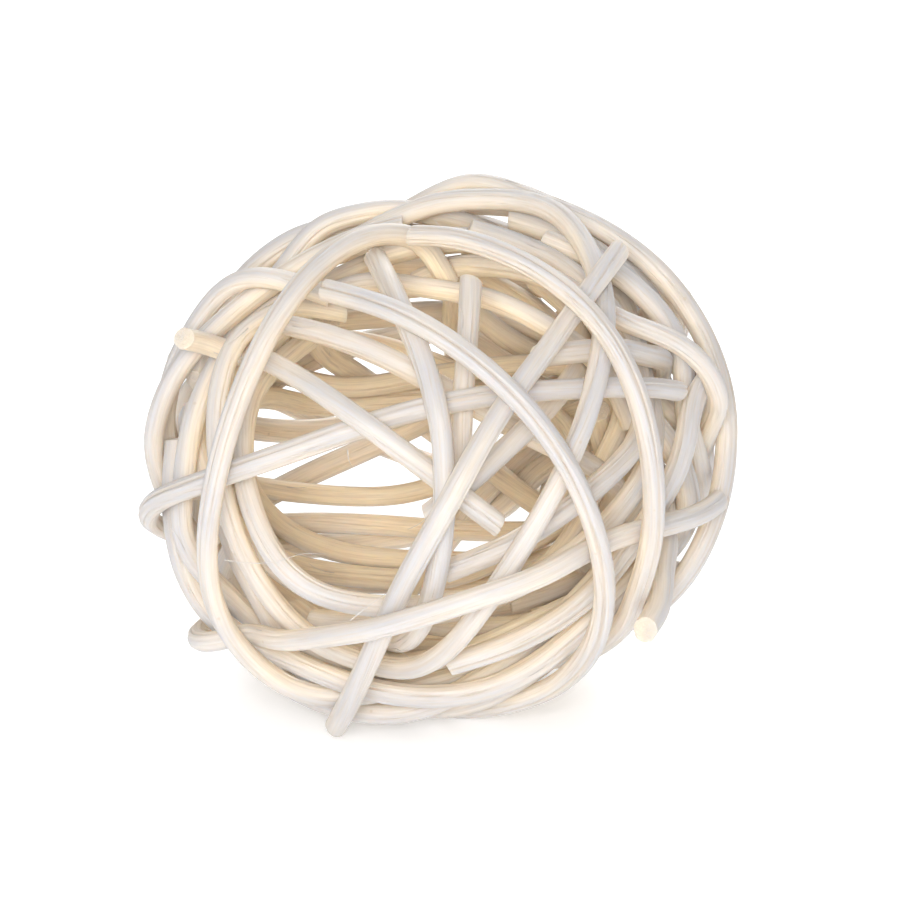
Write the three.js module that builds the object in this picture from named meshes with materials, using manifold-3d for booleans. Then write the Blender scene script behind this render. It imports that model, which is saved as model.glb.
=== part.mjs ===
// A loosely woven ball of bleached rattan cane, such as is set out in a bowl.
// A few long canes wind round a hollow middle, over and under each other, and their cut ends stay in view.
// Millimetres, +Z up, the face with the long slanting cane towards -Y, standing on small flats at Z = 0.
import * as THREE from "three";
import { mergeVertices } from "three/addons/utils/BufferGeometryUtils.js";
import Module from "manifold-3d";

const ballWidth = 50; // across the outermost canes
const ballHeight = 43.6; // along the short axis of the slightly squashed ball
const ballLean = 16; // degrees that the short axis leans to the left
const caneDiameter = 1.85; // a round reed
const stoutDiameter = 2.1; // the thicker reed of the far side
const clearance = 0.12; // free gap kept where two canes cross
const footDepth = 1.2; // how far the underside is pressed flat where the ball rests
const flatDepth = 0.45; // taken off each cane on the underside, so that the ball stands still
const caneStep = 3.9; // length of cane between two rings of the faceted tube
const caneSides = 5;

// The routes are laid out as the ball is seen from the front, from a little above.
const sightElevation = 20; // degrees
const sightDistance = 12; // ball half-widths from the eye to the ball's middle

const layerDepth = caneDiameter + clearance;
const halfWidth = ballWidth / 2;
const halfHeight = ballHeight / 2;
const radians = THREE.MathUtils.degToRad;
const lean = radians(ballLean);
const lowestShell = -Math.hypot(halfHeight * Math.cos(lean), halfWidth * Math.sin(lean));
const restHeight = lowestShell + footDepth;

// A station: where a cane is seen, in hundredths of the ball's half-width across and up from its middle, and
// how many layers below the outside it lies. Front stations are on the near side, back ones on the far side.
const front = (across, up, layer) => ({ across, up, layer, near: true });
const back = (across, up, layer) => ({ across, up, layer, near: false });

const routes = {
  face_ring: [
    back(-30, 72, 1.6), front(2, 86, 0.5), front(42, 84, -0.1), front(52, 64, 0.5), front(49, 14, 1.2),
    front(20, -38, 1.2), front(-3, -71, 1), front(-30, -78, 1.3), front(-62, -48, 1.3), front(-79, -8, 1),
    front(-73, 34, 0.8), front(-54, 54, 1.6), front(-38, 52, 3),
  ],
  left_sweep: [
    front(6, 66, 2.6), front(-2, 80, 0.6), front(-30, 74, 0), front(-62, 28, 0), front(-75, -20, 0),
    front(-68, -62, 0), front(-28, -86, 0), back(15, -85, 0.6), back(64, -52, 0.8), back(82, 5, 0.8),
    back(50, 55, 0.8), back(0, 68, 1), back(-30, 60, 1.5),
  ],
  middle_sweep: [
    front(-38, 53, 0.6), front(0, 39, 0), front(36, 8, 0), front(54, -35, 0), front(49, -68, 0),
    back(10, -80, 0.5), back(-50, -55, 0.5), back(-80, -5, 0.5), back(-66, 45, 0.6), back(-20, 62, 1.6),
  ],
  right_sweep: [
    front(-9, 71, 0.5), front(8, 69, 0), front(30, 62, 0), front(48, 51, 0), front(68, 10, 0),
    front(70, -30, 0), front(65, -50, 0.1), front(53, -69, 0.6), back(10, -77, 1.2), back(-60, -55, 1),
    back(-88, -26, 0.4), front(-97, -4, 0), front(-90, 17, 0.1), front(-79, 37, 0.6), front(-64, 56, 1.3),
    front(-40, 72, 1.7), front(-15, 79, 2),
  ],
  long_slant: [
    front(66, 65, -0.7), front(50, 44, 0.8), front(27, 20, 1), front(2, -18, 0.3), front(-15, -52, 1.1),
    front(-25, -75, 0), front(-34, -93, -0.9),
  ],
  belt: [
    front(84, 20, 0.9), front(38, 21, 2), front(3, 18, 2), front(-32, 6, 2), front(-72, -9, 1.2),
    front(-94, -14, 0), front(-99, -19, -0.35), back(-86, -25, 0), back(-49, -20, 0.7), back(-12, -22, 0.8),
    back(35, -25, 0.8), back(78, -16, 0.5), front(95, 4, 0.3), front(84, 30, 1), front(66, 56, 1.4),
    front(40, 70, 2),
  ],
  low_slant: [
    front(96, -18, -0.4), front(60, -30, 1.1), front(35, -42, 0), front(-12, -58, 0), front(-45, -64, 0.5),
    front(-63, -67, 0.5), front(-76, -64, -0.9), back(-75, -56, -0.4), back(-60, -47, 0.3),
    back(-12, -43, 0.5), back(35, -45, 0.5), back(78, -36, 0.2), front(88, -37, 0.4), front(66, -50, 1.2),
    front(41, -66, 1.3), front(-15, -83, 1), front(-45, -80, 1.2), back(-50, -62, 1.4),
  ],
  short_slant: [
    front(-89, 41, -1.3), front(-73, 38, 1.5), front(-52, 29, 1.3), front(-26, 12, 0.9), front(0, -9, 2),
    front(21, -26, 2.2),
  ],
  upright: [
    front(-20, 67, 1.2), front(-15, 55, 0.9), front(3, 17, 1), front(6, -8, 1.2), front(4, -35, 1.4),
    front(-12, -70, 2), back(-20, -72, 1.5), back(-2, -48, 1), back(12, -8, 1), back(14, 40, 1),
    back(12, 75, 1.5),
  ],
  right_rim: [
    back(-30, 66, 1.5), back(-6, 88, 0.3), back(10, 94, -0.8), back(40, 83, 0), back(81, 53, 0),
    back(97, 22, -0.2), front(97, -5, 0.1), front(94, -27, 0), front(73, -55, 0.2), back(30, -74, 0.8),
    back(-35, -68, 1), back(-70, -40, 1),
  ],
  left_shoulder: [
    front(-36, 50, 2.5), front(-60, 61, 0), front(-79, 53, -0.4), front(-87, 34, 0.3), back(-88, 12, 0.7),
    back(-82, -8, 1), back(-60, -18, 1.1), back(-30, -17, 1), back(-8, -21, 1), back(18, -14, 1.3),
    back(40, 6, 1.3), back(80, 18, 0.8), front(88, 24, 1), front(72, 36, 1.3), front(40, 33, 2.4),
  ],
  top_sweep: [
    front(36, 76, 2), front(14, 82, 1), front(-14, 84, 0.3), front(-45, 76, 0), front(-62, 64, 1.1),
    back(-75, 44, 0.8), back(-39, 25, 1.3), back(-6, 28, 1.3), back(40, 35, 1.2), back(76, 34, 0.8),
    front(95, 32, 0.1), front(84, 4, 0.7), front(68, -32, 1.8), front(34, -60, 1.6), front(6, -70, 1.4),
  ],
  lower_inner: [
    front(-50, 45, 3), front(-66, 20, 2.2), front(-65, -15, 2), front(-46, -47, 1.6), front(-22, -54, 2.2),
    front(5, -55, 2.6), front(35, -45, 2.5), front(65, -20, 2.2), front(86, 6, 1.5), back(82, 38, 0.8),
    back(40, 60, 0.5), back(-20, 52, 0.5), back(-62, 15, 0.5),
  ],
  left_rim: [
    front(-60, 62, 2), front(-79, 28, 1.2), front(-86, -8, 0.9), front(-88, -37, 0.1), front(-66, -65, 0.9),
    back(-30, -72, 0.5), back(30, -56, 0.3), back(76, -28, 0.7), back(84, 15, 0.5), back(55, 58, 0.5),
    back(5, 80, 0.5),
  ],
  upper_inner: [
    front(-42, 43, 2), front(-10, 34, 2.3), front(12, 24, 2.8), front(40, 5, 2.8), front(66, -4, 2.6),
    back(88, -20, 1.4), back(60, -32, 1.1), back(10, -37, 1.2), back(-38, -35, 1.2), back(-70, -22, 1.3),
    back(-80, 8, 1.3),
  ],
  crown: [
    front(-8, 66, 2.5), front(14, 75, 1.4), front(30, 68, 1.4), front(55, 48, 2), front(72, 42, 1),
    front(93, 27, 0.3), back(88, 0, 0.6), back(60, -12, 0.4), back(0, 0, 0.3), back(-65, 28, 0.3),
  ],
  short_upright: [front(17, 53, 1.5), front(16, 36, 1.8), front(12, 12, 2.6), front(14, -15, 3)],
  back_hoop: [
    back(-90, -5, 1), back(-72, 24, 0.9), back(-30, 36, 0.7), back(15, 39, 0.6), back(50, 26, 0.8),
    back(78, 2, 1), front(90, -20, 1.3), front(80, -40, 0.7), front(70, -61, -1.1),
  ],
  back_fall: [
    back(-40, 80, 1), back(-5, 63, 0.5), back(40, 40, 0.5), back(74, 5, 0.6), back(84, -32, 0.5),
    front(62, -70, 0.9), front(15, -88, 0.5), front(-25, -89, 0.5), back(-60, -70, 0.6),
    back(-85, -30, 0.9), back(-86, 5, 1.1),
  ],
  back_rise: [
    back(-62, -42, 1.6), back(-42, -34, 0.6), back(-12, -31, 0.4), back(20, -19, 0.2), back(68, 6, 0.8),
    front(92, 14, 1.2), front(86, 34, 1.2), front(60, 60, 1.2), front(22, 78, 1.6), front(-20, 80, 1.5),
  ],
  back_low: [
    front(-72, -32, 2.2), back(-86, -38, 1), back(-40, -60, 0.5), back(24, -66, -0.2), back(62, -50, 0.3),
    back(90, -10, 0.8), front(92, 20, 1.4), front(70, 50, 1.8),
  ],
  back_left: [
    front(6, 84, 1.7), back(-45, 80, 0.3), back(-66, 48, 0.2), back(-66, 10, 0.2), back(-48, -38, 0.3),
    back(-15, -72, 0.4), front(10, -88, 0.6), front(40, -78, 0.8), front(62, -60, 1.4),
  ],
  back_right: [
    back(0, 92, 0.7), back(42, 78, 0.3), back(64, 38, 0.2), back(58, -10, 0.3), back(36, -52, 0.9),
    back(5, -80, 0.4), front(-30, -88, 0.7), front(-60, -70, 1.2),
  ],
  back_level: [
    front(-88, 0, 1.6), back(-88, 18, 1), back(-45, 5, 0.4), back(-10, 12, 0.3), back(35, 20, 0.4),
    back(72, 30, 0.7), front(86, 44, 0.7), front(66, 64, 1.2), front(30, 82, 1.2),
  ],
  back_tilt: [
    front(58, 66, 1.6), back(80, 50, 0.5), back(50, 16, 0.2), back(10, -26, 0.2), back(-28, -58, 0.2),
    back(-50, -76, 0.5), front(-58, -72, 0.9), front(-78, -46, 1.5), front(-82, -15, 2),
  ],
  back_shade: [
    front(-80, 8, 2.2), back(-86, 34, 1), back(-60, 47, 0.5), back(-20, 53, 0.3), back(20, 54, 0.3),
    back(56, 40, 0.5), back(84, 16, 0.8), front(90, -14, 1.1), front(74, -40, 1.8),
  ],
  back_post: [
    back(14, 84, 0.9), back(30, 50, 0.4), back(38, 10, 0.3), back(32, -32, 0.4), back(16, -66, 0.5),
    back(0, -84, 0.9),
  ],
  top_cross: [
    front(-84, 12, 1.7), front(-66, 44, 1.7), front(-34, 66, 1.4), front(0, 79, 0.9), back(34, 84, 0.5),
    back(66, 62, 0.5), back(78, 20, 0.9), back(66, -25, 1.1),
  ],
  under_cross: [
    front(72, -30, 2), front(62, -58, 1.5), front(36, -78, 0.7), front(-2, -89, 0.3), back(-40, -82, 0.3),
    back(-72, -52, 0.5), back(-84, -12, 0.8), back(-70, 30, 1), back(-40, 56, 1),
  ],
  back_high: [
    back(-80, 20, 1.4), back(-62, 42, 1.1), back(-25, 47, 0.9), back(15, 48, 0.9), back(52, 36, 1),
    back(80, 8, 1.2), front(88, -22, 1.5), front(76, -44, 1.6),
  ],
  back_span: [
    back(-88, 6, 1.8), back(-74, 28, 1.4), back(-38, 22, 1.1), back(0, 28, 1.1), back(38, 26, 1.2),
    back(72, 6, 1.4), front(86, -26, 2),
  ],
  back_brace: [
    front(-72, 50, 1.9), back(-66, 44, 1.3), back(-36, 38, 1.1), back(-8, 38, 1.1), back(30, 20, 1.1),
    back(60, -8, 1.2), back(84, -30, 1.5), front(80, -44, 1.9),
  ],
  back_slope: [
    back(-86, -38, 1.5), back(-62, -20, 1), back(-38, -5, 0.8), back(-12, 5, 0.8), back(16, 22, 0.8),
    back(42, 46, 0.9), back(58, 66, 1.1), front(44, 80, 1.7),
  ],
  back_bias: [
    front(-50, 66, 1.8), back(-52, 52, 1.3), back(-22, 28, 1), back(8, 8, 1), back(36, -18, 1),
    back(58, -44, 1.1), front(60, -62, 1.6), front(36, -76, 1.9),
  ],
  back_under: [
    front(-84, -26, 1.8), back(-72, -42, 1.1), back(-36, -46, 0.9), back(6, -50, 0.9), back(46, -40, 1),
    back(76, -14, 1.2), front(86, 14, 1.9),
  ],
  inner_rise: [
    front(5, -20, 2.5), front(16, -10, 2.2), front(36, 6, 2.4), front(60, 30, 2.6), front(76, 40, 2),
    back(84, 44, 1.6), back(50, 62, 1.4),
  ],
  inner_wide: [
    front(8, -36, 2.8), front(36, -24, 2.6), front(60, -6, 2.5), front(84, 14, 1.9), back(88, 38, 1.5),
    back(60, 62, 1.4), back(20, 74, 1.4),
  ],
  inner_fall: [
    front(-60, 46, 2.6), front(-38, 58, 2.2), front(-18, 66, 2), front(10, 66, 2.6), front(40, 54, 2.6),
    front(64, 40, 2.2), front(84, 22, 1.8),
  ],
  inner_left: [
    front(-84, 4, 1.6), front(-78, -24, 1.8), front(-64, -46, 2), front(-48, -62, 1.9),
    front(-24, -74, 1.8), front(10, -80, 1.7), back(40, -70, 1.4), back(62, -40, 1.4),
  ],
  inner_low: [
    front(-30, -66, 2.2), front(4, -64, 2.4), front(34, -58, 2.4), front(60, -38, 2.3), front(78, -12, 2.4),
    back(88, 14, 1.8), back(70, 40, 1.6),
  ],
};

// The ball's shell: an ellipsoid, its short axis leaning from +Z.
const shellTurn = new THREE.Matrix4().makeRotationY(-radians(ballLean));
const shellTurnBack = shellTurn.clone().invert();

const sightUp = new THREE.Vector3(0, Math.sin(radians(sightElevation)), Math.cos(radians(sightElevation)));
const eye = new THREE.Vector3(0, -Math.cos(radians(sightElevation)), Math.sin(radians(sightElevation)))
  .multiplyScalar(sightDistance * halfWidth);

// The half-axes of the layer on which a cane's centreline lies.
function layerAxes(layer) {
  const depth = caneDiameter / 2 + layer * layerDepth;
  return new THREE.Vector3(halfWidth - depth, halfWidth - depth, halfHeight - depth);
}

// The point, from the ball's middle, where the line of sight to a station meets its layer.
// A line that passes outside the layer takes the layer's nearest rim instead.
function placeOf({ across, up, layer, near }) {
  const axes = layerAxes(layer);
  const unit = halfWidth / 100;
  const seen = new THREE.Vector3(across * unit, 0, 0).addScaledVector(sightUp, up * unit);
  const start = eye.clone().applyMatrix4(shellTurnBack).divide(axes);
  const along = seen.sub(eye).applyMatrix4(shellTurnBack).divide(axes);
  const a = along.dot(along);
  const b = start.dot(along);
  const inside = b * b - a * (start.dot(start) - 1);
  const root = Math.sqrt(Math.max(0, inside)) * (near ? -1 : 1);
  const hit = start.addScaledVector(along, (-b + root) / a).normalize();
  return hit.multiply(axes).applyMatrix4(shellTurn);
}

const thicknessOf = (name) => (name.startsWith("back_") ? stoutDiameter : caneDiameter);

// Points along a route, about caneStep apart, evened out and each pushed out to its own layer of the shell.
function laidPoints(stations) {
  const places = stations.map(placeOf);
  const curve = new THREE.CatmullRomCurve3(places, false, "centripetal");
  curve.arcLengthDivisions = 40 * stations.length;
  const count = Math.max(4, Math.round(curve.getLength() / caneStep));
  const points = [];
  const depths = [];
  for (let i = 0; i <= count; i++) {
    const t = curve.getUtoTmapping(i / count);
    const span = Math.min(stations.length - 2, Math.floor(t * (stations.length - 1)));
    const share = t * (stations.length - 1) - span;
    const ease = share * share * (3 - 2 * share);
    depths.push(THREE.MathUtils.lerp(stations[span].layer, stations[span + 1].layer, ease));
    points.push(curve.getPoint(t));
  }
  for (let pass = 0; pass < evenings; pass++) {
    const old = points.map((p) => p.clone());
    for (let i = 1; i < count; i++)
      points[i].lerp(old[i - 1].clone().add(old[i + 1]).multiplyScalar(0.5), 0.5);
    points.forEach((p, i) => {
      p.applyMatrix4(shellTurnBack);
      p.divideScalar(p.clone().divide(layerAxes(depths[i])).length()).applyMatrix4(shellTurn);
    });
  }
  return points;
}

// Settling: every cane keeps near its laid route, stays stiff, and is pushed off the canes it would run into.
const evenings = 4;
const settleRounds = 1600;
const firmRounds = 500;
const stiffness = 0.35;
const homing = 0.004;
const skippedNeighbours = 3;

const names = Object.keys(routes);
const laid = names.map((name) => laidPoints(routes[name]));
const settled = settle(laid, names.map(thicknessOf));

function settle(lines, thickness) {
  let near = [];
  const count = lines.reduce((sum, line) => sum + line.length, 0);
  const home = new Float64Array(3 * count);
  const at = new Float64Array(3 * count);
  const lineOf = new Int32Array(count);
  const starts = [];
  let n = 0;
  lines.forEach((line, k) => {
    starts.push(n);
    for (const p of line) {
      home.set([p.x, p.y, p.z], 3 * n);
      lineOf[n++] = k;
    }
  });
  at.set(home);
  const segments = [];
  for (let i = 0; i + 1 < count; i++) if (lineOf[i] === lineOf[i + 1]) segments.push(i);

  for (let round = 0; round < settleRounds; round++) {
    const easing = Math.min(1, Math.max(0, (settleRounds - firmRounds - round) / firmRounds));
    if (easing > 0) for (let pass = 0; pass < 2; pass++) smooth(stiffness * easing);
    for (let i = 0; i < 3 * count; i++) at[i] += (home[i] - at[i]) * homing * easing;
    if (round % 10 === 0) near = nearPairs();
    part();
    confine();
  }
  return lines.map((line, k) =>
    line.map((_, i) => new THREE.Vector3().fromArray(at, 3 * (starts[k] + i))));

  // The displacement from home is evened out along each cane, so bumps spread and the laid shape stays.
  function smooth(share) {
    const old = at.slice();
    for (let i = 0; i < count; i++) {
      const before = i > 0 && lineOf[i - 1] === lineOf[i] ? i - 1 : i;
      const after = i + 1 < count && lineOf[i + 1] === lineOf[i] ? i + 1 : i;
      for (let c = 0; c < 3; c++) {
        const move = (j) => old[3 * j + c] - home[3 * j + c];
        at[3 * i + c] += share * ((move(before) + move(after)) / 2 - move(i));
      }
    }
  }

  function nearPairs() {
    const reach = (1.6 * (caneStep + stoutDiameter)) ** 2;
    const pairs = [];
    for (let a = 0; a < segments.length; a++) {
      const i = segments[a];
      for (let b = a + 1; b < segments.length; b++) {
        const j = segments[b];
        if (lineOf[i] === lineOf[j] && j - i <= skippedNeighbours) continue;
        const dx = at[3 * i] - at[3 * j];
        const dy = at[3 * i + 1] - at[3 * j + 1];
        const dz = at[3 * i + 2] - at[3 * j + 2];
        if (dx * dx + dy * dy + dz * dz < reach) pairs.push(i, j);
      }
    }
    return pairs;
  }

  // Pushes apart each pair of segments that come closer than a cane's thickness.
  function part() {
    for (let p = 0; p < near.length; p += 2) {
      const i = near[p], j = near[p + 1];
      const contact = (thickness[lineOf[i]] + thickness[lineOf[j]]) / 2 + clearance;
      const [s, t] = closest(i, j);
      let x = 0, length = 0;
      const gap = [0, 0, 0];
      for (let c = 0; c < 3; c++) {
        x = at[3 * i + c] * (1 - s) + at[3 * i + 3 + c] * s - at[3 * j + c] * (1 - t) - at[3 * j + 3 + c] * t;
        gap[c] = x;
        length += x * x;
      }
      length = Math.sqrt(length);
      if (length >= contact) continue;
      if (length < 1e-6) {
        const r = Math.hypot(at[3 * i], at[3 * i + 1], at[3 * i + 2]) || 1;
        for (let c = 0; c < 3; c++) gap[c] = at[3 * i + c] / r;
        length = 1;
      }
      const weight = (1 - s) ** 2 + s * s + (1 - t) ** 2 + t * t;
      const push = (0.55 * (contact - length)) / length / weight * 2;
      for (let c = 0; c < 3; c++) {
        const d = gap[c] * push * 0.5;
        at[3 * i + c] += d * (1 - s);
        at[3 * i + 3 + c] += d * s;
        at[3 * j + c] -= d * (1 - t);
        at[3 * j + 3 + c] -= d * t;
      }
    }
  }

  // Shares along two segments at which they come closest.
  function closest(i, j) {
    const between = (m, n) => [0, 1, 2].map((axis) => at[3 * n + axis] - at[3 * m + axis]);
    const dot = (p, q) => p[0] * q[0] + p[1] * q[1] + p[2] * q[2];
    const u = between(i, i + 1);
    const v = between(j, j + 1);
    const w = between(j, i);
    const a = dot(u, u);
    const b = dot(u, v);
    const c = dot(v, v);
    const d = dot(u, w);
    const e = dot(v, w);
    const clamp = (x) => Math.min(1, Math.max(0, x));
    const det = a * c - b * b;
    let s = det > 1e-9 * a * c ? clamp((b * e - c * d) / det) : 0.5;
    const t = clamp((b * s + e) / c);
    s = clamp((b * t - d) / a);
    return [s, t];
  }

  // Nothing stands out of the ball by more than its route says, or sinks below the resting plane.
  function confine() {
    const limit = layerAxes(-0.15);
    const p = new THREE.Vector3();
    for (let i = 0; i < count; i++) {
      const reachHome = p.fromArray(home, 3 * i).applyMatrix4(shellTurnBack).divide(limit).length();
      const reach = p.fromArray(at, 3 * i).applyMatrix4(shellTurnBack).divide(limit).length();
      const most = Math.max(1, reachHome);
      if (reach > most) for (let c = 0; c < 3; c++) at[3 * i + c] *= most / reach;
      at[3 * i + 2] = Math.max(at[3 * i + 2], restHeight + thickness[lineOf[i]] / 2 - flatDepth);
    }
  }
}

// A closed tube with flat cut ends. Its rings are turned as little as possible from one to the next.
function caneGeometry(points, thickness) {
  const rings = points.length;
  const tangents = points.map((p, i) =>
    points[Math.min(i + 1, rings - 1)].clone().sub(points[Math.max(i - 1, 0)]).normalize());
  const position = [];
  const index = [];
  for (let i = 0; i < rings; i++) {
    const out = points[i].clone().addScaledVector(tangents[i], -points[i].dot(tangents[i])).normalize();
    const side = tangents[i].clone().cross(out);
    for (let k = 0; k < caneSides; k++) {
      const angle = ((k + 0.5) / caneSides) * 2 * Math.PI;
      const p = points[i].clone()
        .addScaledVector(out, (Math.sin(angle) * thickness) / 2)
        .addScaledVector(side, (Math.cos(angle) * thickness) / 2);
      position.push(p.x, p.y, p.z);
    }
  }
  for (let i = 0; i + 1 < rings; i++)
    for (let k = 0; k < caneSides; k++) {
      const a = i * caneSides + k, b = i * caneSides + ((k + 1) % caneSides);
      index.push(a, a + caneSides, b, b, a + caneSides, b + caneSides);
    }
  const last = (rings - 1) * caneSides;
  for (let k = 1; k + 1 < caneSides; k++) {
    index.push(0, k, k + 1);
    index.push(last, last + k + 1, last + k);
  }
  const geometry = new THREE.BufferGeometry();
  geometry.setAttribute("position", new THREE.Float32BufferAttribute(position, 3));
  geometry.setIndex(index);
  return geometry;
}

// Everything below the resting plane is cut off, which leaves small flats on the lowest canes.
const wasm = await Module();
wasm.setup();

function toManifold(geometry) {
  const plain = geometry.clone();
  plain.deleteAttribute("normal");
  plain.deleteAttribute("uv");
  const merged = mergeVertices(plain, 1e-4);
  return new wasm.Manifold(new wasm.Mesh({
    numProp: 3,
    vertProperties: new Float32Array(merged.attributes.position.array),
    triVerts: new Uint32Array(merged.index.array),
  }));
}

function toGeometry(manifold) {
  const mesh = manifold.getMesh();
  const geometry = new THREE.BufferGeometry();
  geometry.setAttribute("position", new THREE.Float32BufferAttribute(mesh.vertProperties, mesh.numProp));
  geometry.setIndex(Array.from(mesh.triVerts));
  geometry.computeVertexNormals();
  return geometry;
}

const geometries = settled.map((points, k) => caneGeometry(points, thicknessOf(names[k])));
const bleached = { color: 0xebe0d2, roughness: 0.5, metalness: 0 };
const group = new THREE.Group();
names.forEach((name, k) => {
  let solid = toManifold(geometries[k]);
  if (solid.boundingBox().min[2] < restHeight) solid = solid.trimByPlane([0, 0, 1], restHeight);
  const cane = new THREE.Mesh(toGeometry(solid), new THREE.MeshStandardMaterial(bleached));
  cane.name = name;
  group.add(cane);
});

// The ball stands over the origin.
const middle = new THREE.Box3().setFromObject(group).getCenter(new THREE.Vector3());
for (const cane of group.children) cane.geometry.translate(-middle.x, -middle.y, -restHeight);

export default group;
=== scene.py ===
import bpy
import numpy as np
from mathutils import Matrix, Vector


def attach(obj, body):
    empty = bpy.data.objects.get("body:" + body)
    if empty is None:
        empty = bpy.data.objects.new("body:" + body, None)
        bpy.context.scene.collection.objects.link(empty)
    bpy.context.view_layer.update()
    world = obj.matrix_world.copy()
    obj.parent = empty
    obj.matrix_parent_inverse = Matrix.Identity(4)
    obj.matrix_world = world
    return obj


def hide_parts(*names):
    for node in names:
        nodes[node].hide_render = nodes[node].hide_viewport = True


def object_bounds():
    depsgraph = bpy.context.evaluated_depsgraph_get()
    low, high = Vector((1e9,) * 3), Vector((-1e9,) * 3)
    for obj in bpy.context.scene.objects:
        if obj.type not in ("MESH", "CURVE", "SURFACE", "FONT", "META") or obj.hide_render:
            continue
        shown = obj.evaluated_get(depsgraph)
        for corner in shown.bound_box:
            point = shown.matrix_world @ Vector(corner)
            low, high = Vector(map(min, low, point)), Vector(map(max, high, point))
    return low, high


# A loosely woven ball of bleached rattan cane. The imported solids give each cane's route and thickness.
# Here every cane is drawn again as real reed, with its ridges, cut ends, fibres and loose hairs.

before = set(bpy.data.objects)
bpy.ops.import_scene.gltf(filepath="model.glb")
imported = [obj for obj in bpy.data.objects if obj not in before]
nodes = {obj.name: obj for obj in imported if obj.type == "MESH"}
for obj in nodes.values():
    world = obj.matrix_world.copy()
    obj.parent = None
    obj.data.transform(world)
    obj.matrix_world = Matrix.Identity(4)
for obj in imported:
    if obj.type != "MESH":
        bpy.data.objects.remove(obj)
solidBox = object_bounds()
mm = 0.001

view = {
    "elevation": 20.0,  # degrees
    "distance": 300 * mm,  # from the ball's middle
    "middle": (-0.07 * mm, 0.47 * mm, 20.86 * mm),
    "frameWidth": 74.75 * mm,  # what the picture spans at that distance
    "shift": (0.0145, 0.0035),
}


def addCamera():
    # looks level along the table, raised by the elevation and turned down by as much
    camera = bpy.data.objects.new("camera", bpy.data.cameras.new("camera"))
    bpy.context.scene.collection.objects.link(camera)
    tilt = np.radians(view["elevation"])
    away = Vector((0, -np.cos(tilt), np.sin(tilt)))
    camera.location = Vector(view["middle"]) + away * view["distance"]
    camera.rotation_euler = (np.pi / 2 - tilt, 0, 0)
    camera.data.sensor_width = 36
    camera.data.lens = 36 * view["distance"] / view["frameWidth"]
    camera.data.shift_x, camera.data.shift_y = view["shift"]
    camera.data.clip_start = 0.01
    bpy.context.scene.camera = camera


addCamera()
print("camera placed")


solidCane = {
    "corners": 5,  # in each ring of a solid
    "ringReach": 1.2 * mm,  # how far ahead a late corner may be of its ring
    "worn": 0.01 * mm,  # corners below this belong to the worn underside
    "endSteps": 3,  # edges that reach every corner of an end from one of them
}


def unit(vectors):
    # each vector over its own length
    return vectors / np.linalg.norm(vectors, axis=-1, keepdims=True)


def stepsFrom(start, joined):
    # how many edges lead from one corner to each of the others
    steps = np.full(len(joined), -1)
    front = np.arange(len(joined)) == start
    while front.any():
        steps[front] = steps.max() + 1
        front = joined[front].any(0) & (steps < 0)
    return steps


def ringsFrom(start, joined, places):
    # from one ring of corners to the next along the solid's edges; where the underside is cut away,
    # a corner that is reached only through its own ring still joins that ring
    seen = start.copy()
    rings = [start]
    while True:
        ring = joined[rings[-1]].any(0) & ~seen
        if not ring.any():
            return rings
        middle = places[ring].mean(0)
        heading = unit(middle - places[rings[-1]].mean(0))
        if ring.sum() < solidCane["corners"]:
            ahead = (places - middle) @ heading
            ring |= joined[ring].any(0) & ~seen & (ahead < solidCane["ringReach"])
        seen |= ring
        rings.append(ring)


def caneRoute(solid):
    # the middles of the solid's five-cornered rings from end to end, and its thickness; a ring's middle
    # is the point in its plane that is equally far from all its corners
    mesh = solid.data
    corners = np.empty(len(mesh.vertices) * 3)
    mesh.vertices.foreach_get("co", corners)
    turns = np.empty(len(mesh.loops), int)
    mesh.loops.foreach_get("vertex_index", turns)
    places, own = np.unique(np.round(corners.reshape(-1, 3), 6), axis=0, return_inverse=True)
    triangles = own.ravel()[turns].reshape(-1, 3)
    joined = np.zeros((len(places), len(places)), bool)
    joined[triangles, np.roll(triangles, 1, axis=1)] = True
    joined |= joined.T
    above = places[:, 2] > solidCane["worn"]
    places, joined = places[above], joined[np.ix_(above, above)]
    last = stepsFrom(0, joined).argmax()
    near = stepsFrom(last, joined) <= solidCane["endSteps"]
    away = np.linalg.norm(places - places[last], axis=1) + np.where(near, 0, 1)
    endRing = np.isin(np.arange(len(places)), np.argsort(away)[:solidCane["corners"]])
    middles = []
    radii = []
    for ring in ringsFrom(endRing, joined, places):
        others = places[ring][1:] - places[ring][0]
        toMiddle = np.linalg.lstsq(2 * others, (others**2).sum(1), rcond=1e-3)[0]
        middles.append(places[ring][0] + toMiddle)
        radii.append(np.linalg.norm(toMiddle))
    return np.array(middles), 2 * float(np.median(radii))


def alongSpline(points, u):
    # uniform cubic B-spline: each stretch blends the four points round it, and one more point past
    # each end makes it start at the first and stop at the last
    full = np.vstack([2 * points[0] - points[1], points, 2 * points[-1] - points[-2]])
    i = np.minimum(u.astype(int), len(points) - 2)
    f = (u - i)[:, None]
    blend = (1 - f) ** 3 * full[i] + (3 * f**3 - 6 * f**2 + 4) * full[i + 1]
    return (blend + (-3 * f**3 + 3 * f**2 + 3 * f + 1) * full[i + 2] + f**3 * full[i + 3]) / 6


def evenRoute(points, step):
    # the spline at even steps of its own length, and the length gone at each
    u = np.linspace(0, len(points) - 1, 40 * len(points))
    strides = np.linalg.norm(np.diff(alongSpline(points, u), axis=0), axis=1)
    gone = np.append(0, np.cumsum(strides))
    length = np.linspace(0, gone[-1], int(gone[-1] / step) + 2)
    return alongSpline(points, np.interp(length, gone, u)), length


def slowly(length, scale, rng):
    # a smooth random line between -1 and 1 that turns about once in each scale of length
    t = length / scale + rng.uniform(0, 0.9)
    knots = rng.uniform(-1, 1, int(t[-1]) + 3)
    i = t.astype(int)
    f = t - i
    return (knots[i] + (knots[i + 1] - knots[i]) * f * f * (3 - 2 * f))[:, None]


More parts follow.
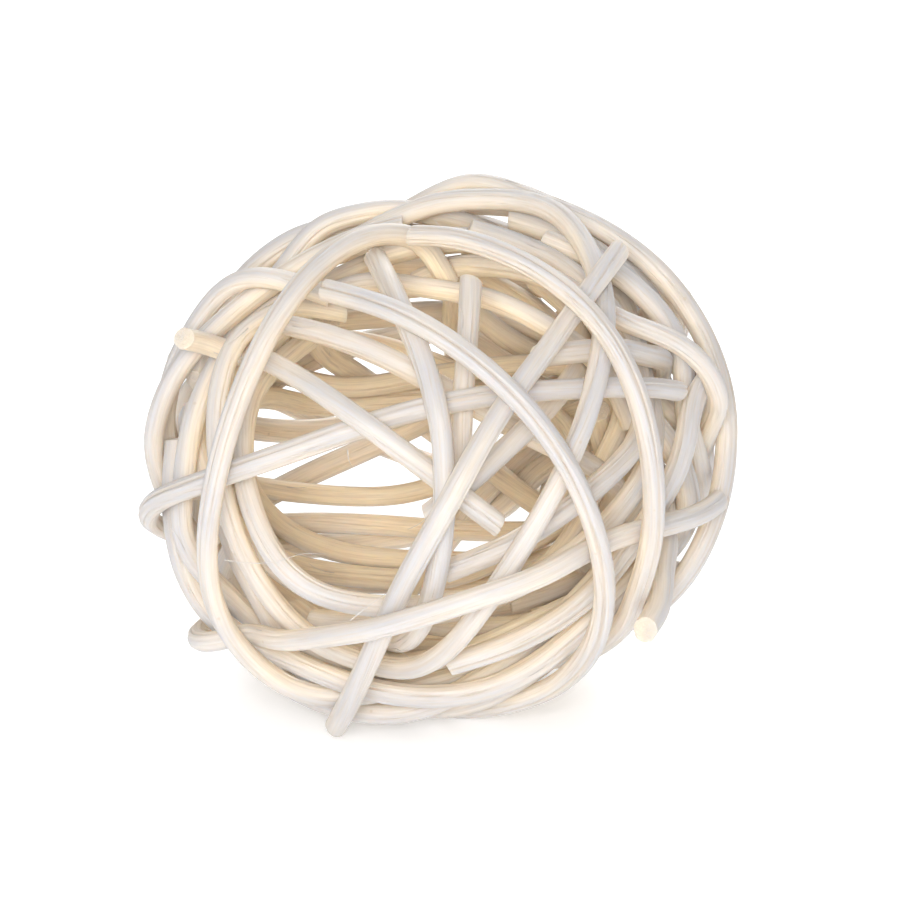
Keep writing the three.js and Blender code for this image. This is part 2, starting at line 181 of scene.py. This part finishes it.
reed = {
    "step": 0.45 * mm,  # between two rings of the fine mesh
    "sides": 44,
    "fullness": 0.97,  # share of the solid's thickness
    "oval": 0.06,  # this and the next ones are shares of the radius
    "facets": 0.022,
    "flats": 5,  # facets round the cane
    "waves": ((11, 0.016, 2, 9 * mm), (17, 0.012, 3, 7 * mm)),  # ridges round, height, drift, its length
    "grooves": 9,
    "grooveDepth": (0.04, 0.15),
    "grooveMean": 0.55,  # how much of its depth a groove has on average
    "grooveWidth": (0.07, 0.16),  # radians
    "twist": 0.03,  # radians each mm
    "drift": {  # how far these drift, in their own measure, and the length in which they turn about once
        "twist": (0.4, 25 * mm),
        "facets": (1, 11 * mm),
        "groovePlace": (0.25, 12 * mm),
        "grooveDepth": (1, 14 * mm),
        "splitPlace": (0.2, 18 * mm),
        "splitDepth": (0.5, 22 * mm),
        "swelling": (0.045, 16 * mm),
    },
    "endSlant": 0.25,
    "endReach": 2 * mm,  # how far back the slanting cut bends the rings
    "endStain": 0.6 * mm,  # how far the colour of a cut end runs up the cane
    "endFace": ((0.97, 0.02), (0.8, 0.03), (0.5, 0.03), (0.2, 0.03)),  # share of radius, mm out
    "endRough": 0.03,  # mm
    "splitDepth": 0.2,
    "splitMean": 0.8,
    "splitLeast": 0.25,
    "splitWidth": 0.17,  # radians
    "split": {  # canes with one deep groove, and its angle; a quarter turn is outward
        "left_sweep": 1.75, "right_sweep": 1.3, "middle_sweep": 1.1, "belt": 1.9,
        "right_rim": 1.2, "top_sweep": 1.8, "back_left": 1.5, "back_level": 1.4,
    },
}


def grooveAt(place, width, angle):
    # a bell curve round the cane: e to the minus square of the angle off its place over its width
    off = (angle - place + np.pi) % (2 * np.pi) - np.pi
    return np.exp(-((off / width) ** 2))


def reedShape(name, route, thickness, rng):
    # a profile carried along the route. Its radius is half the thickness, times a slow swelling, times
    # an oval with flat facets and fine waves, less the deepest of a few grooves that come and go
    middle, length = evenRoute(route, reed["step"])
    way = unit(np.gradient(middle, axis=0))
    out = middle - np.array(view["middle"])
    out = unit(out - (out * way).sum(1)[:, None] * way)
    side = np.cross(way, out)
    angle = np.linspace(0, 2 * np.pi, reed["sides"], endpoint=False)[None]

    def drifting(key):
        amount, reach = reed["drift"][key]
        return amount * slowly(length, reach, rng)

    twist = reed["twist"] * length[:, None] / mm * rng.choice([-1, 1])
    around = angle - (twist + drifting("twist"))
    shape = 1 + reed["oval"] * np.cos(2 * around + rng.uniform(0, 6))
    shape = shape + reed["facets"] * np.abs(np.cos(reed["flats"] / 2 * around + drifting("facets")))
    for ridges, height, turn, reach in reed["waves"]:
        shape = shape + height * np.cos(ridges * around + turn * slowly(length, reach, rng))
    sunk = np.zeros_like(shape)
    for _ in range(reed["grooves"]):
        place = rng.uniform(0, 2 * np.pi) + drifting("groovePlace")
        comes = np.clip(reed["grooveMean"] + drifting("grooveDepth"), 0, 1)
        comes = comes * rng.uniform(*reed["grooveDepth"])
        sunk = np.maximum(sunk, comes * grooveAt(place, rng.uniform(*reed["grooveWidth"]), around))
    if name in reed["split"]:
        place = reed["split"][name] + drifting("splitPlace")
        comes = np.clip(reed["splitMean"] + drifting("splitDepth"), reed["splitLeast"], 1)
        sunk = np.maximum(sunk, reed["splitDepth"] * comes * grooveAt(place, reed["splitWidth"], angle))
    swelling = 1 + drifting("swelling")
    radius = np.minimum(reed["fullness"] * swelling * (shape - sunk), 1) * thickness / 2
    sideways = np.cos(angle)[..., None] * side[:, None]
    ring = radius[..., None] * (sideways + np.sin(angle)[..., None] * out[:, None])
    along = length[:, None] + 0 * radius
    grain = np.stack([along, np.cos(around) * radius, np.sin(around) * radius], -1) / mm
    outward = np.sin(angle) + 0 * radius
    # a slanting cut: near each end a corner moves along the cane by a share of its own height
    slant = reed["endSlant"] * radius * np.cos(angle - rng.uniform(0, 6))
    toEnd = np.minimum(length, length[-1] - length)[:, None]
    slide = slant * np.clip(1 - toEnd / reed["endReach"], 0, 1) ** 2
    return {"middle": middle, "ring": ring + slide[..., None] * way[:, None], "way": way, "grain": grain,
            "sunk": sunk, "outward": outward, "toEnd": toEnd[:, 0]}


def closedTube(rings):
    # rings of corners joined by quads, with a fan to one point at each end; faces point outwards
    count, sides = rings.shape[:2]
    corners = np.vstack([rings.reshape(-1, 3), rings[0].mean(0), rings[-1].mean(0)])
    k = np.arange(sides)
    n = np.roll(k, -1)
    row = np.arange(count - 1)[:, None] * sides
    quads = np.stack([row + k, row + n, row + sides + n, row + sides + k], -1).reshape(-1, 4)
    tip = (count - 1) * sides
    start = np.stack([np.full(sides, count * sides), n, k], -1)
    finish = np.stack([np.full(sides, count * sides + 1), tip + k, tip + n], -1)
    return corners, quads, np.vstack([start, finish])


def reedShell(shape, rng):
    # the reed's rings with a few smaller rings over each cut end, and the values that its material reads
    count = len(shape["middle"])
    share, rise = np.array(reed["endFace"]).T
    n = len(share)
    row = np.concatenate([np.zeros(n, int), np.arange(count), np.full(n, count - 1)])
    share = np.concatenate([share[::-1], np.ones(count), share])[:, None]
    rise = np.concatenate([-rise[::-1], np.zeros(count), rise])[:, None]
    rough = rng.uniform(-reed["endRough"], reed["endRough"], (len(row), reed["sides"])) * (share < 0.9)
    places = shape["middle"][row][:, None] + share[..., None] * shape["ring"][row]
    places = places + ((rise + rough) * mm)[..., None] * shape["way"][row][:, None]
    grain = shape["grain"][row] * np.stack([np.ones_like(share), share, share], -1)
    nearCut = np.clip(1 - shape["toEnd"][row] / reed["endStain"], 0, 1)[:, None]
    cut = np.where(share < 1, 1, 0.6 * nearCut**2) + 0 * places[..., 0]
    sunk = shape["sunk"][row] * (share == 1)
    corners, quads, fans = closedTube(places)
    corners[:, 2] = np.maximum(corners[:, 2], 0)  # worn flat where the ball rests
    grain = np.vstack([grain.reshape(-1, 3), grain[0].mean(0), grain[-1].mean(0)])
    return {"corners": corners, "quads": quads, "fans": fans, "grain": grain,
            "cutEnd": np.append(cut, [1, 1]), "sunk": np.append(sunk, [0, 0]),
            "outward": np.append(shape["outward"][row], [0, 0])}


hair = {
    "each": 3,  # on every cane
    "thickness": 0.09 * mm,
    "taper": 0.7,  # share of the thickness that is lost towards the tip
    "root": 0.985,  # share of the cane's radius at which it starts
    "length": (1.2 * mm, 4.5 * mm),
    "lift": (0.02, 0.2),
    "curl": (-0.35, 0.35),
    "sides": 5,
    "steps": 24,
    "long": {  # mm across, up and towards the eye from the ball's middle
        "left_sweep": ((-17.6, -8.9, 14.4), (-15.4, -9.2, 15.6), (-13, -9.1, 16.2),
                       (-11.4, -8.2, 16.8), (-9, -8.4, 17)),
        "low_slant": ((-7.2, -13.9, 20.4), (-5.6, -12.6, 21), (-4, -11.5, 21.4)),
        "belt": ((-7.4, 0.3, 19.5), (-7.4, -0.4, 19.7), (-7.1, -1.1, 19.6)),
    },
}


def hairShell(middle):
    # a thin tube along a line of places; its radius falls evenly from root to tip
    heading = unit(np.gradient(middle, axis=0))
    first = unit(np.cross(heading, (0.3, 0.5, 0.8)))
    second = np.cross(heading, first)
    t = np.linspace(0, 1, len(middle))[:, None]
    angle = np.linspace(0, 2 * np.pi, hair["sides"], endpoint=False)[None, :, None]
    radius = (hair["thickness"] / 2 * (1 - hair["taper"] * t))[:, None]
    ring = np.cos(angle) * first[:, None] + np.sin(angle) * second[:, None]
    places = middle[:, None] + radius * ring
    corners, quads, fans = closedTube(places)
    corners = np.clip(corners, np.array(solidBox[0]), np.array(solidBox[1]))
    count = len(corners)
    return {"corners": corners, "quads": quads, "fans": fans, "grain": corners / mm,
            "cutEnd": np.full(count, 0.3), "sunk": np.zeros(count), "outward": np.ones(count)}


def looseHairs(name, shape, rng):
    # short ones run on along the cane, lift with the square of the way gone and turn aside with its
    # cube; a long one follows a spline that is laid out as seen by the camera
    t = np.linspace(0, 1, hair["steps"])[:, None]
    shells = []
    for _ in range(hair["each"]):
        row, column = rng.integers(4, len(shape["middle"]) - 4), rng.integers(reed["sides"])
        way = shape["way"][row] * rng.choice([-1, 1])
        ring = shape["ring"][row, column]
        out = unit(ring)
        bend = rng.uniform(*hair["lift"]) * t**2 * out
        bend = bend + rng.uniform(*hair["curl"]) * t**3 * np.cross(way, out)
        root = shape["middle"][row] + hair["root"] * ring
        shells.append(hairShell(root + rng.uniform(*hair["length"]) * (t * way + bend)))
    if name in hair["long"]:
        points = np.array(hair["long"][name]) * mm
        tilt = np.radians(view["elevation"])
        axes = np.array([[1, 0, 0], [0, np.sin(tilt), np.cos(tilt)], [0, -np.cos(tilt), np.sin(tilt)]])
        nearer = 1 - points[:, 2:] / view["distance"]
        places = view["middle"] + (points * np.hstack([nearer, nearer, np.ones_like(nearer)])) @ axes
        shells.append(hairShell(alongSpline(places, t[:, 0] * (len(places) - 1))))
    return shells


def meshOf(name, shells, offset, tone):
    # the closed shells as one mesh, with their values as attributes of its points
    faces = []
    base = 0
    for shell in shells:
        faces += (shell["quads"] + base).tolist() + (shell["fans"] + base).tolist()
        base += len(shell["corners"])
    mesh = bpy.data.meshes.new(name)
    mesh.from_pydata(np.vstack([shell["corners"] for shell in shells]), [], faces)
    grain = np.vstack([shell["grain"] for shell in shells]) + offset
    mesh.attributes.new("grain", "FLOAT_VECTOR", "POINT").data.foreach_set("vector", grain.ravel())
    for key in ("cutEnd", "sunk", "outward"):
        values = np.concatenate([shell[key] for shell in shells])
        mesh.attributes.new(key, "FLOAT", "POINT").data.foreach_set("value", values)
    mesh.attributes.new("tone", "FLOAT", "POINT").data.foreach_set("value", np.full(base, tone))
    mesh.shade_smooth()
    mesh.set_sharp_from_angle(angle=np.radians(40))  # keeps the rims of the cut ends crisp
    return mesh


def addCane(name, material, rng):
    # one solid's cane as a finished piece, with the hairs that stand on it
    route, thickness = caneRoute(nodes[name])
    shape = reedShape(name, route, thickness, rng)
    shells = [reedShell(shape, rng)] + looseHairs(name, shape, rng)
    mesh = meshOf("reed_" + name, shells, rng.uniform(-300, 300, 3), rng.uniform(0, 1))
    mesh.materials.append(material)
    piece = bpy.data.objects.new("reed_" + name, mesh)
    bpy.context.scene.collection.objects.link(piece)
    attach(piece, "root")
    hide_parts(name)


def addNode(tree, kind, values=(), **settings):
    # a shader node with its settings, its own sockets set or joined by name or number
    made = tree.nodes.new(kind)
    for key, value in settings.items():
        setattr(made, key, value)
    for key, value in dict(values).items():
        if isinstance(value, bpy.types.NodeSocket):
            tree.links.new(value, made.inputs[key])
        else:
            made.inputs[key].default_value = value
    return made


fibreLook = {
    # of the first three: the scale along the cane and across it, the detail, and a shift to set them apart
    "streaks": (0.07, 1.6, 2, 0),
    "threads": (0.22, 6.5, 3, 31),
    "lines": (0.16, 4.2, 2, 67),
    "darkFrom": 0.6,  # where the lines' noise begins to darken
    "darkTo": 0.72,
    "threadHeight": 0.7,
    "lineHeight": -0.5,
}


def fibreGroup():
    # streaks that run with the cane: noise that is stretched along the grain, at three sizes
    group = bpy.data.node_groups.new("caneFibre", "ShaderNodeTree")
    group.interface.new_socket("Grain", in_out="INPUT", socket_type="NodeSocketVector")
    group.interface.new_socket("Length", in_out="INPUT", socket_type="NodeSocketFloat")
    for name in ("Streaks", "Threads", "Dark Lines", "Height"):
        group.interface.new_socket(name, in_out="OUTPUT", socket_type="NodeSocketFloat")
    given = group.nodes.new("NodeGroupInput").outputs
    result = group.nodes.new("NodeGroupOutput").inputs

    def stretched(along, across, detail, shift):
        longer = addNode(group, "ShaderNodeMath", {0: along, 1: given["Length"]}, operation="DIVIDE")
        scale = addNode(group, "ShaderNodeCombineXYZ", {0: longer.outputs[0], 1: across, 2: across})
        values = {0: given["Grain"], 1: scale.outputs[0], 2: (shift, 0, 0)}
        place = addNode(group, "ShaderNodeVectorMath", values, operation="MULTIPLY_ADD")
        values = {"Vector": place.outputs[0], "Scale": 1, "Detail": detail, "Roughness": 0.6}
        return addNode(group, "ShaderNodeTexNoise", values).outputs[0]

    broad = stretched(*fibreLook["streaks"])
    threads = stretched(*fibreLook["threads"])
    lines = stretched(*fibreLook["lines"])
    values = {0: lines, 1: fibreLook["darkFrom"], 2: fibreLook["darkTo"], 3: 0, 4: 1}
    dark = addNode(group, "ShaderNodeMapRange", values)
    values = {0: threads, 1: fibreLook["threadHeight"], 2: 0}
    height = addNode(group, "ShaderNodeMath", values, operation="MULTIPLY_ADD")
    values = {0: dark.outputs[0], 1: fibreLook["lineHeight"], 2: height.outputs[0]}
    lower = addNode(group, "ShaderNodeMath", values, operation="MULTIPLY_ADD")
    group.links.new(broad, result["Streaks"])
    group.links.new(threads, result["Threads"])
    group.links.new(dark.outputs[0], result["Dark Lines"])
    group.links.new(lower.outputs[0], result["Height"])
    return group


caneLook = {
    "bleached": (0.555, 0.545, 0.555, 1),
    # cream and ochre: the colours of the painted warm shade of the ball's inside, partly the cane's own
    # unbleached colour on inward sides
    "cream": (0.765, 0.69, 0.60, 1),
    "ochre": (0.99, 0.83, 0.60, 1),
    "line": (0.55, 0.45, 0.335, 1),
    "cutEnd": (0.67, 0.59, 0.49, 1),
    "ownTone": 0.24,  # how far the warmth of one cane may be from another's
    "streakWarmth": 0.28,
    "endRoughness": 0.25,
    "patchScale": 110,
    "speckScale": 0.3,
    "poreScale": 6,
    "relief": 0.07 * mm,
    "reliefStrength": 0.8,
    "fibreLength": 1.0,
    "gloss": 0.42,
    "lightThrough": 0.45,  # how much light goes into the cane, its colour and its depth
    "throughColour": (1.0, 0.75, 0.5),
    "throughDepth": 1.2 * mm,
    # each of the rest is a range of a value, and what it becomes at the two ends of that range
    # painted warm shade: the deeper a spot lies in the ball, the warmer, standing in for the bounced light
    # and shade inside it
    "paintedWarmShadeByDepth": (22.5 * mm, 13.5 * mm, 0, 0.8),  # from the ball's middle
    # partly painted warm shade on each cane's inward side, partly the real bleaching of its outward side
    "bleachAndPaintedShadeBySide": (0.75, -0.75, 0, 0.85),  # 1 is a cane's outward side, -1 its inward side
    "warmByPatch": (0.35, 0.75, -0.1, 0.3),
    "warmByStreak": (0.38, 0.68, 0, 1),
    "creamByWarmth": (0.1, 0.75, 0, 1),
    "ochreByWarmth": (0.75, 1.5, 0, 0.9),
    "threads": (0.3, 0.6, 0.35, 0),
    "linesByWarmth": (0, 1, 0.3, 0.42),
    # darker in the grooves: partly painted shade, partly dirt
    "grooves": (0.03, 0.2, 0, 0.55),
    "specks": (0.03, 0.06, 0.5, 0),
    "pores": (0.35, 0.65, 0.4, 0.85),
    "roughness": (0.3, 0.7, 0.42, 0.62),
}


def caneMaterial(group):
    # bleached outside; warmer and yellower towards the ball's middle and on each cane's inward side, which
    # is painted warm shade of the ball's inside (on the inward side partly the cane's own unbleached
    # colour), with streaks along the grain, darker in the grooves (partly painted shade, partly dirt) and
    # on the cut ends, and a few specks; warmth is the sum of what makes a spot yellower, painted shade
    # included
    material = bpy.data.materials.new("bleachedCane")
    material.use_nodes = True
    tree = material.node_tree
    shader = tree.nodes["Principled BSDF"]

    def attribute(name, output):
        return addNode(tree, "ShaderNodeAttribute", attribute_name=name).outputs[output]

    def math(operation, *values):
        return addNode(tree, "ShaderNodeMath", dict(enumerate(values)), operation=operation).outputs[0]

    def mapped(value, key):
        values = {0: value, **dict(enumerate(caneLook[key], 1))}
        return addNode(tree, "ShaderNodeMapRange", values).outputs[0]

    def mixed(share, first, second):
        return addNode(tree, "ShaderNodeMix", {0: share, 6: first, 7: second}, data_type="RGBA").outputs[2]

    grain = attribute("grain", "Vector")
    fibre = addNode(tree, "ShaderNodeGroup", node_tree=group)
    tree.links.new(grain, fibre.inputs["Grain"])
    fibre.inputs["Length"].default_value = caneLook["fibreLength"]
    place = addNode(tree, "ShaderNodeTexCoord").outputs["Object"]
    values = {0: place, 1: view["middle"]}
    depth = addNode(tree, "ShaderNodeVectorMath", values, operation="DISTANCE").outputs["Value"]
    # painted warm shade of the ball's inside: warmer deeper in the ball and on each cane's inward side; on
    # that side partly the cane's own unbleached colour
    warmShadeAndBleach = math("ADD", mapped(depth, "paintedWarmShadeByDepth"), mapped(attribute("outward", "Fac"), "bleachAndPaintedShadeBySide"))
    values = {"Vector": place, "Scale": caneLook["patchScale"], "Detail": 2}
    patches = addNode(tree, "ShaderNodeTexNoise", values).outputs[0]
    own = math("MULTIPLY_ADD", attribute("tone", "Fac"), caneLook["ownTone"], -caneLook["ownTone"] / 2)
    warmth = math("ADD", math("ADD", warmShadeAndBleach, own), mapped(patches, "warmByPatch"))
    streaks = mapped(fibre.outputs["Streaks"], "warmByStreak")
    warmth = math("MULTIPLY_ADD", streaks, caneLook["streakWarmth"], warmth)
    colour = mixed(mapped(warmth, "creamByWarmth"), caneLook["bleached"], caneLook["cream"])
    colour = mixed(mapped(warmth, "ochreByWarmth"), colour, caneLook["ochre"])
    colour = mixed(mapped(fibre.outputs["Threads"], "threads"), colour, caneLook["line"])
    lines = math("MULTIPLY", fibre.outputs["Dark Lines"], mapped(warmth, "linesByWarmth"))
    colour = mixed(lines, colour, caneLook["line"])
    # darker with the groove's depth: partly painted shade in the groove, partly dirt
    colour = mixed(mapped(attribute("sunk", "Fac"), "grooves"), colour, caneLook["line"])
    values = {"Vector": grain, "Scale": caneLook["speckScale"]}
    specks = addNode(tree, "ShaderNodeTexVoronoi", values).outputs["Distance"]
    colour = mixed(mapped(specks, "specks"), colour, caneLook["line"])
    values = {"Vector": grain, "Scale": caneLook["poreScale"], "Detail": 2}
    pores = addNode(tree, "ShaderNodeTexNoise", values).outputs[0]
    cutEnd = attribute("cutEnd", "Fac")
    colour = mixed(math("MULTIPLY", cutEnd, mapped(pores, "pores")), colour, caneLook["cutEnd"])
    tree.links.new(colour, shader.inputs["Base Color"])
    rough = mapped(fibre.outputs["Threads"], "roughness")
    rough = math("MULTIPLY_ADD", cutEnd, caneLook["endRoughness"], rough)
    tree.links.new(rough, shader.inputs["Roughness"])
    height = math("ADD", fibre.outputs["Height"], math("MULTIPLY", cutEnd, pores))
    values = {"Strength": caneLook["reliefStrength"], "Distance": caneLook["relief"], "Height": height}
    tree.links.new(addNode(tree, "ShaderNodeBump", values).outputs[0], shader.inputs["Normal"])
    shader.inputs["Specular IOR Level"].default_value = caneLook["gloss"]
    shader.inputs["Subsurface Weight"].default_value = caneLook["lightThrough"]
    shader.inputs["Subsurface Radius"].default_value = caneLook["throughColour"]
    shader.inputs["Subsurface Scale"].default_value = caneLook["throughDepth"]
    return material


cane = caneMaterial(fibreGroup())
print("cane material made")

firstSeed = 100
for number, name in enumerate(sorted(nodes)):
    addCane(name, cane, np.random.default_rng(firstSeed + number))
print("canes drawn:", len(nodes))


studio = {
    "floorWidth": 6.0,
    "floorColour": (0.95, 0.95, 0.95, 1),
    "floorRoughness": 0.9,
    "floorGloss": 0.1,
    "floorGlow": 0.3,  # a backdrop that is lit from below as well
    "world": (1.0, 1.0, 1.0, 1),
    "worldStrength": 0.42,
    "lights": (  # name, place, width, watts
        ("front", (-0.03, -0.40, 0.18), 0.16, 1.42),
        ("key", (-0.26, -0.30, 0.46), 0.30, 0.4),
        ("fill", (0.42, -0.34, 0.26), 0.36, 0.15),
        ("back", (0.08, 0.46, 0.30), 0.40, 2.3),
    ),
}


def addFloor():
    # one wide square on the table's level
    half = studio["floorWidth"] / 2
    mesh = bpy.data.meshes.new("floor")
    corners = [(-half, -half, 0), (half, -half, 0), (half, half, 0), (-half, half, 0)]
    mesh.from_pydata(corners, [], [(0, 1, 2, 3)])
    floor = bpy.data.objects.new("floor", mesh)
    bpy.context.scene.collection.objects.link(floor)
    material = bpy.data.materials.new("paleFloor")
    material.use_nodes = True
    shader = material.node_tree.nodes["Principled BSDF"]
    shader.inputs["Base Color"].default_value = studio["floorColour"]
    shader.inputs["Roughness"].default_value = studio["floorRoughness"]
    shader.inputs["Specular IOR Level"].default_value = studio["floorGloss"]
    shader.inputs["Emission Color"].default_value = studio["floorColour"]
    shader.inputs["Emission Strength"].default_value = studio["floorGlow"]
    mesh.materials.append(material)


def addLights():
    # an even white world, and square lamps that face the ball's middle
    world = bpy.data.worlds.new("studio")
    world.use_nodes = True
    background = world.node_tree.nodes["Background"]
    background.inputs["Color"].default_value = studio["world"]
    background.inputs["Strength"].default_value = studio["worldStrength"]
    bpy.context.scene.world = world
    for name, place, width, watts in studio["lights"]:
        lamp = bpy.data.lights.new(name, "AREA")
        lamp.size = width
        lamp.energy = watts
        light = bpy.data.objects.new(name, lamp)
        light.location = place
        towards = Vector(view["middle"]) - light.location
        light.rotation_euler = towards.to_track_quat("-Z", "Y").to_euler()
        bpy.context.scene.collection.objects.link(light)


addFloor()
addLights()
bpy.context.scene.view_settings.view_transform = "Standard"
print("floor and lights placed")
